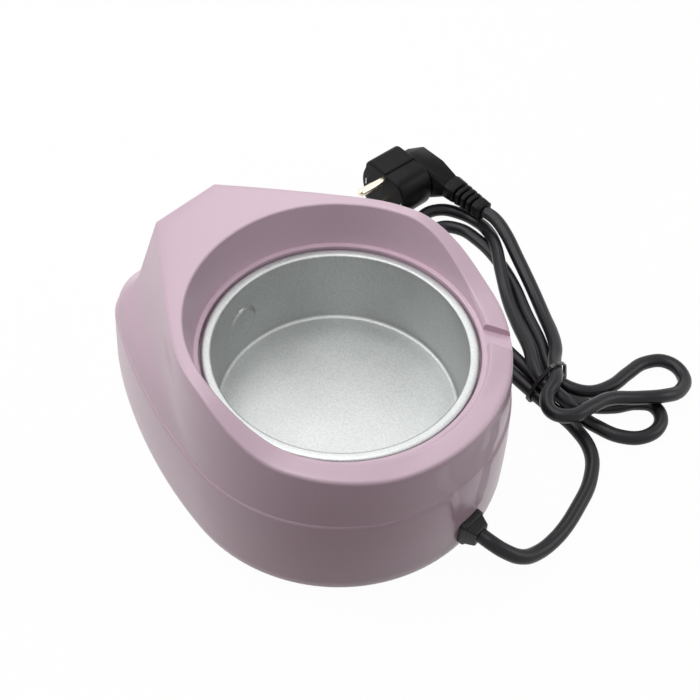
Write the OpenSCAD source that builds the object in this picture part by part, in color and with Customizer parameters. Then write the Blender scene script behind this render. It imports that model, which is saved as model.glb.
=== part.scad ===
// Wax warmer pot: a heated aluminium bowl in a two-piece moulded housing with a
// raised collar round the front, a control knob on the front face and a mains lead.
// The bowl's axis is vertical; -Y is the front with the knob, +Y the cord side.

/* [Heating chamber] */
// Inside radius of the bowl's straight wall
chamber_r = 60; // [56:0.5:61]
// Depth of the bowl from the top of its rim to its floor
chamber_depth = 44.7; // [38:0.1:47]
// Sheet thickness of the bowl
chamber_wall = 1.2; // [0.8:0.1:1.5]
// Width of the rolled rim beyond the straight wall
rim_w = 5; // [4.5:0.1:6]
// Height of the rim above the table
rim_z = 80; // [77:0.5:86]

/* [Housing] */
// Wall thickness of the moulded shells
wall = 2.6; // [2.2:0.1:3]
// Width of the ring between the chamber's rim and the outer edge, at rim height
ring_w = 14.2; // [13.5:0.1:17]
// How far the collar stands above the rim
collar_rise = 24.4; // [18:0.2:28]
// How far the seam lies below the rim
seam_drop = 25; // [22:0.5:28]
// Distance from the chamber's axis to the flat front face
front_reach = 122; // [118:0.5:128]
// Distance from the chamber's axis to the top edge of the upper front panel
panel_reach = 103.2; // [100:0.2:106]
// Half width of the upper front panel at its top edge
panel_half_w = 19.6; // [17:0.2:22]
// Depth of the recess at the back
recess_depth = 1.4; // [0.8:0.1:1.5]
// Running gap round the chamber's rim
rim_gap = 0.7; // [0.4:0.1:1]

/* [Base] */
// How far the rubber feet lift the base plate
foot_lift = 3.5; // [2.5:0.1:4.5]
// Radius of a rubber foot
foot_r = 7; // [5:0.5:8]
// Thickness of the base plate
base_t = 2.5; // [2:0.1:3]
// Radius of a screw post
post_r = 4; // [3.5:0.1:4.2]

/* [Control] */
// Radius of the knob's skirt
knob_r = 13; // [11.5:0.5:14.5]
// Height of the knob
knob_h = 13; // [11:0.5:15]
// Height of the knob's axis above the table
knob_z = 32; // [29:0.5:34]
// Radius of the control shaft
shaft_r = 3; // [2.5:0.1:3.2]
// Radius of the dial plate
dial_r = 19; // [17:0.5:20]
// Thickness of the dial plate
dial_t = 0.8; // [0.5:0.1:1.2]
// Radius of the pilot lamps' lenses
lamp_r = 3; // [2.5:0.1:4]

/* [Lead] */
// Diameter of the mains lead
cord_d = 7.5; // [6:0.1:7.6]
// Height of the lead's outlet above the table
gland_z = 18.5; // [17:0.5:22]
// Width of the cord gland's flange
gland_w = 14.5; // [13:0.5:17]
// Height of the cord gland's flange
gland_h = 15; // [14:0.5:17]
// Diameter of a plug pin
pin_d = 4.8; // [4:0.1:4.9]
// Length of a plug pin
pin_len = 19; // [17:0.5:20]
// Distance between the two plug pins
pin_pitch = 19; // [18.6:0.1:19.4]

/* [Hidden] */

fit = 0.3;           // clearance between moulded pieces that slide together
turn_fit = 0.05;     // radial clearance of the control shaft in its bush
knob_gap = 0.6;      // gap between the knob's skirt and the dial plate
epsilon = 0.01;

// Heights above the table
seam_z = rim_z - seam_drop;
collar_z = rim_z + collar_rise;
plate_z = foot_lift;
floor_z = rim_z - chamber_depth;
ring_z = rim_z + 2.8;
panel_foot_z = rim_z - 5;

// Radii about the chamber's axis
rim_r = chamber_r + rim_w;
opening_r = rim_r + rim_gap;
ring_r = rim_r + ring_w;
seam_r = ring_r + 2.8;
collar_r = ring_r - 2.2;
belly_r = seam_r + 2.3;
collar_in_r = opening_r + 5.3;
lip_r = chamber_r + chamber_wall + 1.4;

front_extent = front_reach + dial_t + knob_gap + knob_h;
// The chamber's axis stands behind the middle of the model's length
pot_y = (front_extent - belly_r) / 2;

// ---- Plan outlines -------------------------------------------------------
// Half the outline runs from the end of the flat front, round a corner of radius
// rc and a long side arc, to the back of a circle of radius r about the axis.
corner_n = 6;
side_n = 8;
rear_n = 16;

function half_outline(r, w, reach, rc, full) =
    let (
        cx = w - rc,
        cy = reach - rc,
        along = norm([cx, cy]),
        start = atan2(cy, cx) - acos((r - rc) / along) - full,
        shift = (along * along - pow(r - rc, 2))
            / (2 * (r - rc - cx * cos(start) - cy * sin(start))),
        centre = [-shift * cos(start), shift * sin(start)],
        finish = atan2(-cy - centre[1], cx - centre[0])
    ) concat(
        [for (i = [0:corner_n]) let (a = -90 + (finish + 90) * i / corner_n)
            [cx + rc * cos(a), -cy + rc * sin(a)]],
        [for (i = [1:side_n]) let (a = finish + (-start - finish) * i / side_n)
            centre + (r + shift) * [cos(a), sin(a)]],
        [for (i = [1:rear_n]) let (a = -start + (90 + start) * i / rear_n)
            r * [cos(a), sin(a)]]);

function outline(level, inset = 0) =
    let (
        half = half_outline(level[1] - inset, level[2] - inset, level[3] - inset,
            max(level[4] - inset, 0.5), level[5]),
        last = len(half) - 1
    ) concat(half, [for (i = [last - 1:-1:0]) [-half[i][0], half[i][1]]]);

function ring(level, inset = 0, dz = 0) =
    [for (p = outline(level, inset)) [p[0], p[1], level[0] + dz]];

// A level is [height, rear radius, front half width, front reach, corner radius, fullness]
function between(a, b, t) = a + (b - a) * t;

belly_w = 49;
panel_top = [collar_z, collar_r, panel_half_w, panel_reach, 1.5, 2];
panel_foot = [panel_foot_z, ring_r + 1.4, 33, panel_reach + 2.8, 3, 6];
seam_level = [seam_z, seam_r, belly_w, front_reach - 1, 26, 11.5];
upper_levels = [
    seam_level,
    [seam_z + 4, seam_r - 0.2, belly_w - 1, front_reach - 1.6, 25, 11],
    [seam_z + 8, seam_r - 0.5, belly_w - 4, front_reach - 4, 21, 10],
    [seam_z + 12, seam_r - 0.8, belly_w - 8.5, front_reach - 8.5, 15, 9],
    [seam_z + 16, seam_r - 1.1, belly_w - 12.5, front_reach - 13, 8, 7.5],
    panel_foot,
    between(panel_foot, panel_top, 0.35),
    between(panel_foot, panel_top, 0.7) + [0, 0.4, 0, 0, 0, 0],
    panel_top + [-1.2, 0, 0, 0, 0, 0],
    panel_top + [0, -1, -1, -1, 0, 0]];

lower_levels = [
    [plate_z - 1, belly_r - 2.8, belly_w + 1, front_reach - 2.4, 26, 11.5],
    [plate_z + 1, belly_r - 0.9, belly_w + 2.9, front_reach - 0.6, 26, 11.5],
    [plate_z + 6, belly_r, belly_w + 4, front_reach, 27, 11.5],
    [plate_z + 20, belly_r, belly_w + 4, front_reach, 27, 11.5],
    [seam_z - 18, belly_r - 0.4, belly_w + 3, front_reach, 27, 11.5],
    [seam_z - 3, belly_r - 1.2, belly_w + 1.4, front_reach, 26.4, 11.5],
    [seam_z, belly_r - 1.4, belly_w + 1, front_reach - 0.2, 26, 11.5]];

module loft(rings) {
    n = len(rings[0]);
    m = len(rings);
    polyhedron(
        points = [for (r = rings) each r],
        faces = concat(
            [[for (j = [0:n - 1]) j]],
            [for (i = [0:m - 2]) for (j = [0:n - 1]) let (k = (j + 1) % n)
                [i * n + j, (i + 1) * n + j, (i + 1) * n + k]],
            [for (i = [0:m - 2]) for (j = [0:n - 1]) let (k = (j + 1) % n)
                [i * n + j, (i + 1) * n + k, i * n + k]],
            [[for (j = [n - 1:-1:0]) (m - 1) * n + j]]));
}

module upright(level, inset, z0, z1) {
    // a straight-sided block with a level's outline
    translate([0, 0, z0]) linear_extrude(z1 - z0) polygon(outline(level, inset));
}

module placed() {
    translate([0, pot_y, 0]) children();
}

module on_both_sides() {
    children();
    mirror([1, 0, 0]) children();
}

// ---- Places shared by several pieces ------------------------------------
post_ring = belly_r - 11;
post_angle = 51;
post_places = [[post_ring * cos(post_angle), post_ring * sin(post_angle)],
    [-post_ring * cos(post_angle), post_ring * sin(post_angle)], [24, -84], [-24, -84]];
foot_places = [[44, 36], [-44, 36], [40, -74], [-40, -74]];
bracket_angles = [-30, 90, 210];
shield_angles = [30, 150, 270];
post_bore_r = 1.5;
plate_top = plate_z + base_t;

// ---- Upper housing -------------------------------------------------------
// Height of the top edge against distance behind the axis: high round the
// front, an easy slope down each side, low round the back.
slope_front = -20;
slope_back = 35;
slope_end_z = rim_z + 6.2;
notch_y = 47;

function eased(t) = t * t * (3 - 2 * t);
slope_n = 14;
top_curve = [for (i = [0:slope_n]) let (t = i / slope_n)
    [between(slope_front, slope_back, t), between(collar_z, slope_end_z, eased(t))]];

module above_top_edge(drop = 0) {
    // everything over the top edge, lowered by drop
    reach = front_reach + 10;
    translate([-reach, 0, -drop]) rotate([90, 0, 90])
        linear_extrude(2 * reach)
            polygon(concat(top_curve,
                [[notch_y + 8, ring_z + 1.6], [notch_y + 20, ring_z], [reach, ring_z],
                    [reach, collar_z + 20], [slope_front, collar_z + 20]]));
}

module notch_cut(drop = 0) {
    // low patch on the left where the collar ends in a small step
    translate([-52, notch_y + 3, rim_z + 1.4 - drop]) rotate([0, 0, 24])
        translate([-5, -16, 0]) cube([10, 32, 12]);
}

module opening_profile() {
    // inside of the collar, the ledge and the seat of the chamber's rim
    polygon([[0, rim_z - 9], [lip_r, rim_z - 9], [lip_r, rim_z - 4], [opening_r, rim_z - 4],
        [opening_r, rim_z + 0.8], [collar_in_r - 3.2, rim_z + 1.2],
        [collar_in_r, collar_z], [collar_in_r, collar_z + 9],
        [0, collar_z + 9]]);
}

module collar_tube() {
    // wall that carries the collar, the ledge and the seat
    difference() {
        translate([0, 0, rim_z - 6.6]) cylinder(r = opening_r + wall, h = 10, $fn = 96);
        translate([0, 0, rim_z - 9]) cylinder(r = lip_r, h = 20, $fn = 96);
    }
    translate([0, 0, rim_z - 1])
        cylinder(r1 = opening_r + wall, r2 = collar_in_r + wall - 0.5, h = 5, $fn = 96);
    translate([0, 0, rim_z + 4 - epsilon])
        cylinder(r1 = collar_in_r + wall - 0.5, r2 = collar_in_r + wall, h = collar_rise, $fn = 96);
}

// The recess at the back: a shallow panel with sloping ends and a sloping sill.
// A recess level is [height, surface radius, half width, share of the full depth]
recess_slope = 4.7;
recess_n = 12;

function recess_ring(l) =
    let (
        out = asin(l[2] / l[1]),
        in = out - recess_slope / l[1] * 180 / PI,
        floor_r = l[1] - recess_depth * l[3]
    ) concat(
        [[-(l[1] + 7) * sin(out), (l[1] + 7) * cos(out), l[0]],
            [-(l[1] + 0.02) * sin(out), (l[1] + 0.02) * cos(out), l[0]]],
        [for (i = [0:recess_n]) let (a = -in + 2 * in * i / recess_n)
            [floor_r * sin(a), floor_r * cos(a), l[0]]],
        [[(l[1] + 0.02) * sin(out), (l[1] + 0.02) * cos(out), l[0]],
            [(l[1] + 7) * sin(out), (l[1] + 7) * cos(out), l[0]]]);

module recess_cut(levels, top) {
    // the recess, cut off flat at its top
    intersection() {
        loft([for (l = levels) recess_ring(l)]);
        translate([-50, 0, 0]) cube([100, 120, top]);
    }
}

upper_recess = [
    [seam_z - 1, seam_r, 12, 0],
    [seam_z + 0.5, seam_r, 12.5, 0.2],
    [seam_z + 3.5, seam_r - 0.2, 15, 1],
    [rim_z - 13, seam_r - 0.7, 21, 1],
    [rim_z - 5, ring_r + 1.4, 21, 1],
    [rim_z + 1, ring_r + 0.9, 21, 1]];
sill_z = gland_z + gland_h / 2 + 1;
lower_recess = [
    [sill_z, belly_r, 9.5, 0],
    [sill_z + 4, belly_r - 0.1, 10, 1],
    [seam_z - 14, belly_r - 0.55, 12, 1],
    [seam_z - 3, belly_r - 1.2, 14.5, 1],
    [seam_z + 1, belly_r - 1.4, 15, 1]];

module upper_outer() {
    difference() {
        loft([for (l = upper_levels) ring(l)]);
        above_top_edge();
        notch_cut();
    }
}

module upper_cavity() {
    difference() {
        loft([for (l = upper_levels) ring(l, wall, l[0] == seam_z ? -epsilon
            : l[0] > panel_foot_z ? -wall : 0)]);
        above_top_edge(wall);
        notch_cut(wall);
        collar_tube();
    }
}

module upper_housing() {
    color([0.84, 0.74, 0.80]) placed() {
        difference() {
            upper_outer();
            upper_cavity();
            rotate_extrude($fn = 120) opening_profile();
            recess_cut(upper_recess, rim_z - 1.5);
            for (x = [-1, 1]) translate([x * lamp_x, -panel_reach - 12, lamp_z])
                rotate([-90, 0, 0]) cylinder(r = lamp_hole_r, h = 24, $fn = 40);
        }
        for (i = [0:3]) translate([post_places[i][0], post_places[i][1], plate_top])
            difference() {
                cylinder(r = post_r, h = (i < 2 ? rim_z + 0.6 : collar_z - wall + 0.5) - plate_top,
                    $fn = 32);
                translate([0, 0, -1]) cylinder(r = post_bore_r, h = 15, $fn = 24);
            }
    }
}

// ---- Lower housing -------------------------------------------------------
flange_w = 4;
flange_t = 2.5;
tongue_h = 3;

module lower_housing() {
    tongue = between(upper_levels[0], upper_levels[1],
        tongue_h / (upper_levels[1][0] - seam_z));
    color([0.83, 0.73, 0.79]) placed() {
        difference() {
            loft([for (l = lower_levels) ring(l)]);
            loft([for (l = lower_levels)
                ring(l, wall, l[0] == seam_z ? epsilon : l[0] < plate_z ? -epsilon : 0)]);
            recess_cut(lower_recess, seam_z + 0.8);
            translate([-gland_w / 2 + 1.5, belly_r - 12, gland_z - gland_h / 2 + 1.5])
                cube([gland_w - 3, 20, gland_h - 3]);
            translate([-gland_w / 2 - fit, gland_y - gland_seat, gland_z - gland_h / 2 - fit])
                cube([gland_w + 2 * fit, 10, gland_h + 2 * fit]);
            translate([0, -front_reach - 5, knob_z]) rotate([-90, 0, 0])
                cylinder(r = bush_r + fit, h = 12, $fn = 48);
        }
        difference() {
            upright(lower_levels[2], wall - 0.5, plate_top, plate_top + flange_t);
            upright(lower_levels[2], wall + flange_w, plate_top - 1, plate_top + flange_t + 1);
        }
        difference() {
            union() {
                upright(tongue, wall + fit, seam_z - 4, seam_z + tongue_h);
                upright(lower_levels[6], 1, seam_z - 4, seam_z - 0.3);
            }
            upright(tongue, wall + fit + 1.4, seam_z - 5, seam_z + tongue_h + 1);
        }
    }
}

// ---- Base ---------------------------------------------------------------
screw_r = 1.9;
screw_head_r = 3.4;
screw_head_h = 2;

module base_plate() {
    color([0.20, 0.20, 0.21]) placed() difference() {
        upright(between(lower_levels[0], lower_levels[1], 0.5), wall + fit, plate_z, plate_top);
        for (p = post_places) translate([p[0], p[1], plate_z - 1]) {
            cylinder(r = screw_r + 0.2, h = base_t + 2, $fn = 32);
            cylinder(r = screw_head_r + 0.3, h = 1 + screw_head_h - 0.6, $fn = 32);
        }
        for (p = foot_places) translate([p[0], p[1], plate_z - 1])
            cylinder(r = foot_stem_r + 0.1, h = base_t + 2, $fn = 32);
        for (i = [-4:4]) translate([i * 8 - 1.5, -22, plate_z - 1])
            cube([3, 44, base_t + 2]);
    }
}

foot_stem_r = 2.5;

module rubber_feet() {
    color([0.10, 0.10, 0.10]) placed() for (p = foot_places) translate([p[0], p[1], 0]) {
        cylinder(r1 = foot_r - 0.8, r2 = foot_r, h = 0.8, $fn = 48);
        translate([0, 0, 0.8]) cylinder(r = foot_r, h = plate_z - 0.8, $fn = 48);
        translate([0, 0, plate_z - epsilon])
            cylinder(r = foot_stem_r, h = base_t + 2 * epsilon, $fn = 32);
        translate([0, 0, plate_top]) cylinder(r1 = foot_stem_r + 1, r2 = 1.5, h = 2.5, $fn = 32);
    }
}

module base_screws() {
    color([0.55, 0.55, 0.57]) placed() for (p = post_places)
        translate([p[0], p[1], plate_z]) difference() {
            union() {
                cylinder(r = screw_head_r, h = screw_head_h - 0.6, $fn = 32);
                cylinder(r = post_bore_r - 0.05, h = base_t + 10, $fn = 24);
            }
            translate([0, 0, -1]) cross_slot(2.4, 1.9);
        }
}

module cross_slot(reach, depth) {
    for (a = [0, 90]) rotate([0, 0, a]) translate([-reach, -0.4, 0]) cube([2 * reach, 0.8, depth]);
}

// ---- Heating chamber and heater -----------------------------------------
floor_fillet = 2;
roll_r = 1.7;
dimple_r = 9.5;
dimple_depth = 1.1;
dimple_z = rim_z - 24;
dimple_angle = 7;
fuse_angle = -40;
chamber_out_r = chamber_r + chamber_wall;

function arc(cx, cy, r, a, b, n) =
    [for (i = [0:n]) let (t = a + (b - a) * i / n) [cx + r * cos(t), cy + r * sin(t)]];

module chamber_profile() {
    rim_c = rim_r - roll_r;
    polygon(concat(
        [[0, floor_z - chamber_wall], [chamber_out_r - floor_fillet - chamber_wall, floor_z - chamber_wall]],
        arc(chamber_out_r - floor_fillet - chamber_wall, floor_z + floor_fillet,
            floor_fillet + chamber_wall, -90, 0, 6),
        [[chamber_out_r, rim_z - 2 * roll_r], [rim_c, rim_z - 2 * roll_r]],
        arc(rim_c, rim_z - roll_r, roll_r, -90, 90, 10),
        [[chamber_r + roll_r, rim_z]],
        arc(chamber_r + roll_r, rim_z - roll_r, roll_r, 90, 180, 6),
        [[chamber_r, floor_z + floor_fillet]],
        arc(chamber_r - floor_fillet, floor_z + floor_fillet, floor_fillet, 0, -90, 6),
        [[0, floor_z]]));
}

module heating_chamber() {
    color([0.78, 0.79, 0.79]) placed() difference() {
        union() {
            rotate_extrude($fn = 144) chamber_profile();
            rotate([0, 0, dimple_angle]) translate([0, -chamber_r, dimple_z]) rotate([90, 0, 0])
                cylinder(r = dimple_r + 0.8, h = dimple_depth + chamber_wall, $fn = 48);
        }
        rotate([0, 0, dimple_angle]) translate([0, -chamber_r + 2, dimple_z]) rotate([90, 0, 0])
            cylinder(r = dimple_r, h = 2 + dimple_depth, $fn = 48);
        translate([0, 0, floor_z + floor_fillet])
            cylinder(r = chamber_r, h = chamber_depth - floor_fillet - roll_r, $fn = 144);
    }
}

bracket_t = 1.2;
bracket_w = 12;
bracket_z = rim_z - 6.6;

module chamber_brackets() {
    color([0.62, 0.63, 0.65]) placed() for (a = bracket_angles) rotate([0, 0, a + 90]) {
        translate([-bracket_w / 2, -lip_r - 5, bracket_z - bracket_t])
            cube([bracket_w, 5 + lip_r - chamber_out_r - 0.4, bracket_t]);
        translate([-bracket_w / 2, -chamber_out_r - 0.4 - bracket_t, bracket_z - 14])
            cube([bracket_w, bracket_t, 14]);
    }
}

module bracket_screws() {
    color([0.55, 0.55, 0.57]) placed() for (a = bracket_angles) rotate([0, 0, a + 90])
        translate([0, -lip_r - 2.7, bracket_z - bracket_t - 1.8])
            cylinder(r = 2.2, h = 1.8, $fn = 24);
}

band_low = floor_z + 1.5;
band_h = 8.8;
band_t = 2;
band_screw_r = 1.25;
band_screw_y = chamber_out_r + band_t + 3.6;

module heater_band() {
    color([0.72, 0.66, 0.52]) placed() difference() {
        union() {
            translate([0, 0, band_low]) difference() {
                cylinder(r = chamber_out_r + 0.1 + band_t, h = band_h, $fn = 120);
                translate([0, 0, -1]) cylinder(r = chamber_out_r + 0.1, h = band_h + 2, $fn = 120);
                translate([-4, 0, -1]) cube([8, rim_r + 10, band_h + 2]);
            }
            on_both_sides() translate([4, chamber_out_r + band_t - 1.6, band_low])
                cube([1.2, 8, band_h]);
        }
        translate([-8, band_screw_y, band_low + band_h / 2]) rotate([0, 90, 0])
            cylinder(r = band_screw_r + 0.15, h = 16, $fn = 24);
    }
}

module heater_clamp_screw() {
    color([0.55, 0.55, 0.57]) placed()
        translate([-8, band_screw_y, band_low + band_h / 2]) rotate([0, 90, 0]) {
            difference() {
                cylinder(r = 2.6, h = 2.7, $fn = 6);
                translate([0, 0, -1]) cylinder(r = 1, h = 2, $fn = 24);
            }
            translate([0, 0, 2.7]) cylinder(r = band_screw_r, h = 13, $fn = 24);
            translate([0, 0, 13.3]) cylinder(r = 2.6, h = 2.2, $fn = 24);
        }
}

shield_z = floor_z - chamber_wall - 5.5;
shield_t = 0.8;
shield_r = 57;
shield_post_r = 3;
shield_screw_ring = 45;

module heat_shield() {
    color([0.66, 0.67, 0.69]) placed() {
        rotate_extrude($fn = 96) polygon([[0, shield_z], [shield_r, shield_z],
            [shield_r + 2, shield_z + 3.5], [shield_r + 2 - shield_t, shield_z + 3.5],
            [shield_r - shield_t, shield_z + shield_t], [0, shield_z + shield_t]]);
        for (a = shield_angles) rotate([0, 0, a]) translate([shield_screw_ring, 0, plate_top])
            difference() {
                cylinder(r = shield_post_r, h = shield_z - plate_top + shield_t / 2, $fn = 32);
                translate([0, 0, -1]) cylinder(r = 1, h = 9, $fn = 24);
            }
    }
}

module shield_screws() {
    color([0.55, 0.55, 0.57]) placed() for (a = shield_angles) rotate([0, 0, a])
        translate([shield_screw_ring, 0, shield_z + shield_t])
            cylinder(r1 = 2.8, r2 = 2, h = 1.6, $fn = 24);
}

// ---- Thermostat and knob --------------------------------------------------
bush_r = 4.6;
nut_t = 2.2;
nut_af = 13;
inner_front = -front_reach + wall;
dial_face = -front_reach - dial_t;
knob_back = dial_face - knob_gap;
stat_w = 26;
stat_d = 15;
stat_back = inner_front + stat_d;

module forward(y, z = knob_z) {
    // a frame at distance y whose own +Z points out of the front face
    translate([0, y, z]) rotate([90, 0, 0]) children();
}

module thermostat_body() {
    color([0.90, 0.88, 0.82]) placed() difference() {
        union() {
            forward(inner_front + stat_d) translate([-stat_w / 2, -stat_w / 2, 0])
                cube([stat_w, stat_w, stat_d]);
            forward(inner_front + 1) cylinder(r = bush_r, h = wall + dial_t + nut_t + 1.2, $fn = 48);
            forward(inner_front + stat_d + 6) for (x = [-7, 5]) translate([x, -3, 0])
                cube([0.8, 6.3, 6.5]);
        }
        forward(inner_front + stat_d - 4) cylinder(r = shaft_r + turn_fit, h = 30, $fn = 48);
    }
}

module thermostat_nut() {
    color([0.75, 0.70, 0.45]) placed() forward(dial_face) difference() {
        cylinder(r = nut_af / sqrt(3), h = nut_t, $fn = 6);
        translate([0, 0, -1]) cylinder(r = bush_r, h = nut_t + 2, $fn = 48);
    }
}

module thermostat_shaft() {
    color([0.72, 0.72, 0.74]) placed() difference() {
        forward(inner_front + stat_d - 5)
            cylinder(r = shaft_r, h = stat_d - 5 + wall + dial_t + knob_gap + knob_h - 3, $fn = 48);
        forward(knob_back - 4) translate([-shaft_r, shaft_r - 1.2, 0])
            cube([2 * shaft_r, 2, knob_h]);
    }
}

flute_n = 24;

module control_knob() {
    color([0.12, 0.12, 0.13]) placed() difference() {
        forward(knob_back) {
            cylinder(r = knob_r, h = 3, $fn = 72);
            translate([0, 0, 3]) cylinder(r1 = knob_r - 1, r2 = knob_r - 2, h = knob_h - 4, $fn = 72);
            translate([0, 0, knob_h - 1])
                cylinder(r1 = knob_r - 2, r2 = knob_r - 3, h = 1, $fn = 72);
        }
        forward(knob_back + 1) cylinder(r = nut_af / sqrt(3) + 1.2, h = 4.4, $fn = 48);
        forward(knob_back) difference() {
            cylinder(r = shaft_r + 0.02, h = knob_h - 2.9, $fn = 48);
            translate([-shaft_r - 1, shaft_r - 1.1, 4]) cube([2 * shaft_r + 2, 3, knob_h]);
        }
        forward(knob_back) for (i = [0:flute_n - 1]) rotate([0, 0, (i + 0.5) * 360 / flute_n])
            translate([knob_r - 0.6, 0, 3.2]) cylinder(r = 0.7, h = knob_h, $fn = 16);
        rest_turn() forward(knob_back - knob_h + 1.2)
            translate([-pointer_w / 2, 1.5, 0]) cube([pointer_w, knob_r - 5, 5]);
    }
}

pointer_w = 1.8;
rest_angle = -150;

module rest_turn() {
    // turns a piece about the knob's axis to where the knob rests, at off
    translate([0, 0, knob_z]) rotate([0, rest_angle, 0]) translate([0, 0, -knob_z]) children();
}

module knob_pointer() {
    color("white") placed() rest_turn() forward(knob_back - knob_h + 1.2)
        translate([-pointer_w / 2 + 0.05, 1.55, 0.01])
            cube([pointer_w - 0.1, knob_r - 5.1, 1.2]);
}

module dial_plate() {
    color([0.85, 0.85, 0.86]) placed() forward(-front_reach) difference() {
        cylinder(r = dial_r, h = dial_t, $fn = 96);
        translate([0, 0, -1]) cylinder(r = bush_r + 0.1, h = dial_t + 2, $fn = 48);
    }
}

bulb_r = 2.4;
bulb_l = 20;
bulb_y = -(chamber_r + dimple_depth + chamber_wall + bulb_r + 0.1);

module at_dimple() {
    rotate([0, 0, dimple_angle]) translate([0, bulb_y, dimple_z]) children();
}

module sensor_bulb() {
    color([0.72, 0.45, 0.30]) placed() at_dimple() rotate([0, 90, 0])
        translate([0, 0, -bulb_l / 2]) cylinder(r = bulb_r, h = bulb_l, $fn = 32);
}

module sensor_clip() {
    color([0.62, 0.63, 0.65]) placed() at_dimple() difference() {
        translate([-3, -bulb_r - 0.8, -6]) cube([6, 2 * bulb_r + 0.7, 12]);
        translate([-4, -bulb_r - 0.1, -bulb_r - 0.1]) cube([8, 2 * bulb_r + 2, 2 * bulb_r + 0.2]);
    }
}

module thermal_fuse() {
    color([0.80, 0.80, 0.76]) placed() rotate([0, 0, fuse_angle])
        translate([0, -chamber_out_r - 2.3, dimple_z]) rotate([0, 90, 0]) translate([0, 0, -7]) {
            cylinder(r = 2.2, h = 14, $fn = 32);
            translate([0, 0, -5]) cylinder(r = 0.6, h = 24, $fn = 16);
        }
}

// ---- Pilot lamps -----------------------------------------------------------
lamp_x = 10;
lamp_z = rim_z + 9;
lamp_hole_r = lamp_r + 0.1;
lamp_y = -panel_reach - 1.5;

module lens(x) {
    placed() translate([x, lamp_y + 3, lamp_z]) rotate([90, 0, 0]) {
        cylinder(r = lamp_r, h = 3.4, $fn = 40);
        translate([0, 0, 3.4]) cylinder(r1 = lamp_r, r2 = lamp_r - 1.2, h = 0.8, $fn = 40);
    }
}

module power_lens() {
    color([0.20, 0.70, 0.30]) lens(lamp_x);
}

module heating_lens() {
    color([0.85, 0.30, 0.15]) lens(-lamp_x);
}

module lamp_holders() {
    color([0.88, 0.88, 0.86]) placed() on_both_sides()
        translate([lamp_x, lamp_y + 15, lamp_z]) rotate([90, 0, 0]) {
            cylinder(r = lamp_r - 0.2, h = 12, $fn = 40);
            cylinder(r = lamp_r + 1, h = 8.2 - wall, $fn = 40);
        }
}

// ---- Wiring -----------------------------------------------------------------
block = [30, 16, 11];
block_at = [-15, 20, plate_top];

module terminal_block() {
    color([0.92, 0.92, 0.90]) placed() translate(block_at) difference() {
        cube(block);
        for (i = [0:2]) translate([5 + 10 * i, 0, 0]) {
            translate([0, -1, 5]) rotate([-90, 0, 0]) cylinder(r = 1.8, h = block[1] + 2, $fn = 24);
            for (y = [4, 12]) translate([0, y, 7]) cylinder(r = 1.6, h = 6, $fn = 24);
        }
    }
}

function unit(v) = v / norm(v);

function spline(a, b, c, d, t) =
    0.5 * ((2 * b) + (c - a) * t + (2 * a - 5 * b + 4 * c - d) * t * t
        + (3 * b - a - 3 * c + d) * t * t * t);

function smoothed(route, steps) =
    let (last = len(route) - 1)
    concat([for (i = [0:last - 1]) for (s = [0:steps - 1])
        spline(route[max(i - 1, 0)], route[i], route[i + 1], route[min(i + 2, last)], s / steps)],
        [route[last]]);

function tube_ring(path, i, r, sides) =
    let (
        last = len(path) - 1,
        along = unit(path[min(i + 1, last)] - path[max(i - 1, 0)]),
        side = unit(cross(along, [0, 0, 1])),
        up = cross(side, along)
    ) [for (k = [0:sides - 1]) let (a = 360 * k / sides)
        path[i] + r * (cos(a) * side + sin(a) * up)];

module tube(route, r, sides, steps) {
    path = smoothed(route, steps);
    loft([for (i = [0:len(path) - 1]) tube_ring(path, i, r, sides)]);
}

wire_r = 1.1;

module live_wire() {
    color([0.45, 0.25, 0.12]) placed() tube([[-10, 20.5, 11.5], [-10, 12, 12], [-20, -10, 13],
        [-24, -50, 16], [-18, stat_back + 24.4, 20], [-8, stat_back + 12.4, knob_z - 6],
        [-6.6, stat_back + 7.4, knob_z - 2]], wire_r, 8, 2);
}

module neutral_wire() {
    color([0.20, 0.35, 0.70]) placed() tube([[0, 20.5, 11.5], [0, 12, 12], [6, -10, 13],
        [22, -50, 16], [22, -76, 24], [12, -panel_reach + 15.2, 40],
        [9, -panel_reach + 17.2, 58]], wire_r, 8, 2);
}

module earth_wire() {
    color([0.35, 0.60, 0.20]) placed() tube([[10, 20.5, 11.5], [10, 12, 12], [30, 2, 12],
        [58, 2, 15], [66, 2, 26], [66.5, 2, 40]], wire_r, 8, 2);
}

module earth_screw() {
    color([0.75, 0.70, 0.45]) placed()
        translate([chamber_out_r + 0.05, 2, band_low + band_h + 4]) rotate([0, 90, 0]) {
            cylinder(r = 4, h = 0.8, $fn = 32);
            translate([0, 0, 0.8]) cylinder(r = 3, h = 2, $fn = 32);
        }
}

module capillary_tube() {
    color([0.72, 0.45, 0.30]) placed() tube([[9, stat_back, knob_z + 8],
        [9, stat_back + 1.5, knob_z + 8], [9, stat_back + 6, knob_z + 11],
        [4, stat_back + 16.4, knob_z + 22],
        [-8, -chamber_r - 16, dimple_z - 4], [-18, -chamber_r - 8, dimple_z - 1],
        [-20.5, -chamber_r - 5, dimple_z]], 0.7, 8, 3);
}

module cord_clamp() {
    color([0.92, 0.92, 0.90]) placed() translate([0, 54, plate_top]) difference() {
        translate([-11, -5, 0]) cube([22, 10, gland_z - plate_top + cord_d / 2 + 2.5]);
        translate([0, -6, gland_z - plate_top]) rotate([-90, 0, 0])
            cylinder(r = cord_d / 2 + 0.1, h = 12, $fn = 48);
        for (x = [-8, 8]) translate([x, 0, 6]) cylinder(r = 1.5, h = 30, $fn = 24);
    }
}

module cord_clamp_screws() {
    color([0.55, 0.55, 0.57]) placed() for (x = [-8, 8])
        translate([x, 54, gland_z + cord_d / 2 + 2.5]) {
            cylinder(r = 2.4, h = 1.8, $fn = 24);
            translate([0, 0, -7]) cylinder(r = 1.45, h = 7, $fn = 24);
        }
}

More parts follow.
